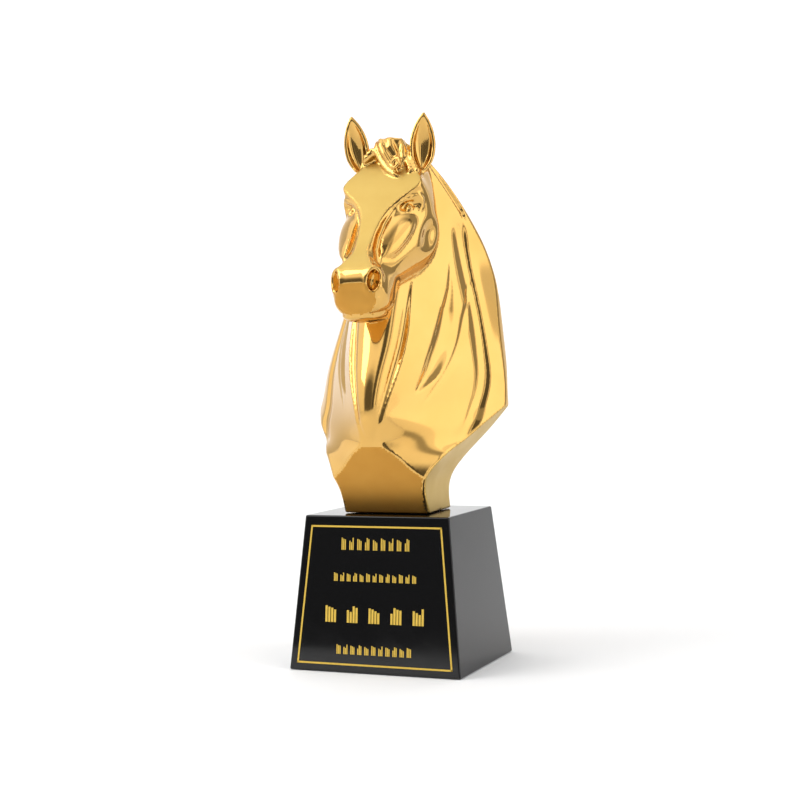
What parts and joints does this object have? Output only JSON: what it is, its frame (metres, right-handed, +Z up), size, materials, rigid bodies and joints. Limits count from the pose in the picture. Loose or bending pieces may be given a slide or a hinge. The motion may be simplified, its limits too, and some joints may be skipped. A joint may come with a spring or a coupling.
{
  "type": "horse trophy",
  "caption": "Polished gold horse head and neck bust with a flared mane, standing on a tapered gloss black plinth with a gilt border.",
  "frame": {"origin": "middle of the plinth's underside", "axes": "+Z up; the horse looks along -Y; +X is the horse's left"},
  "size_m": [0.1088, 0.1023, 0.2908],
  "materials": {
    "polished_gold": "mirror polished gold plate",
    "black_glass": "polished opaque black crystal"
  },
  "bodies": {
    "root": {"horse_bust": "polished_gold", "plinth": "black_glass"}
  },
  "joints": []
}
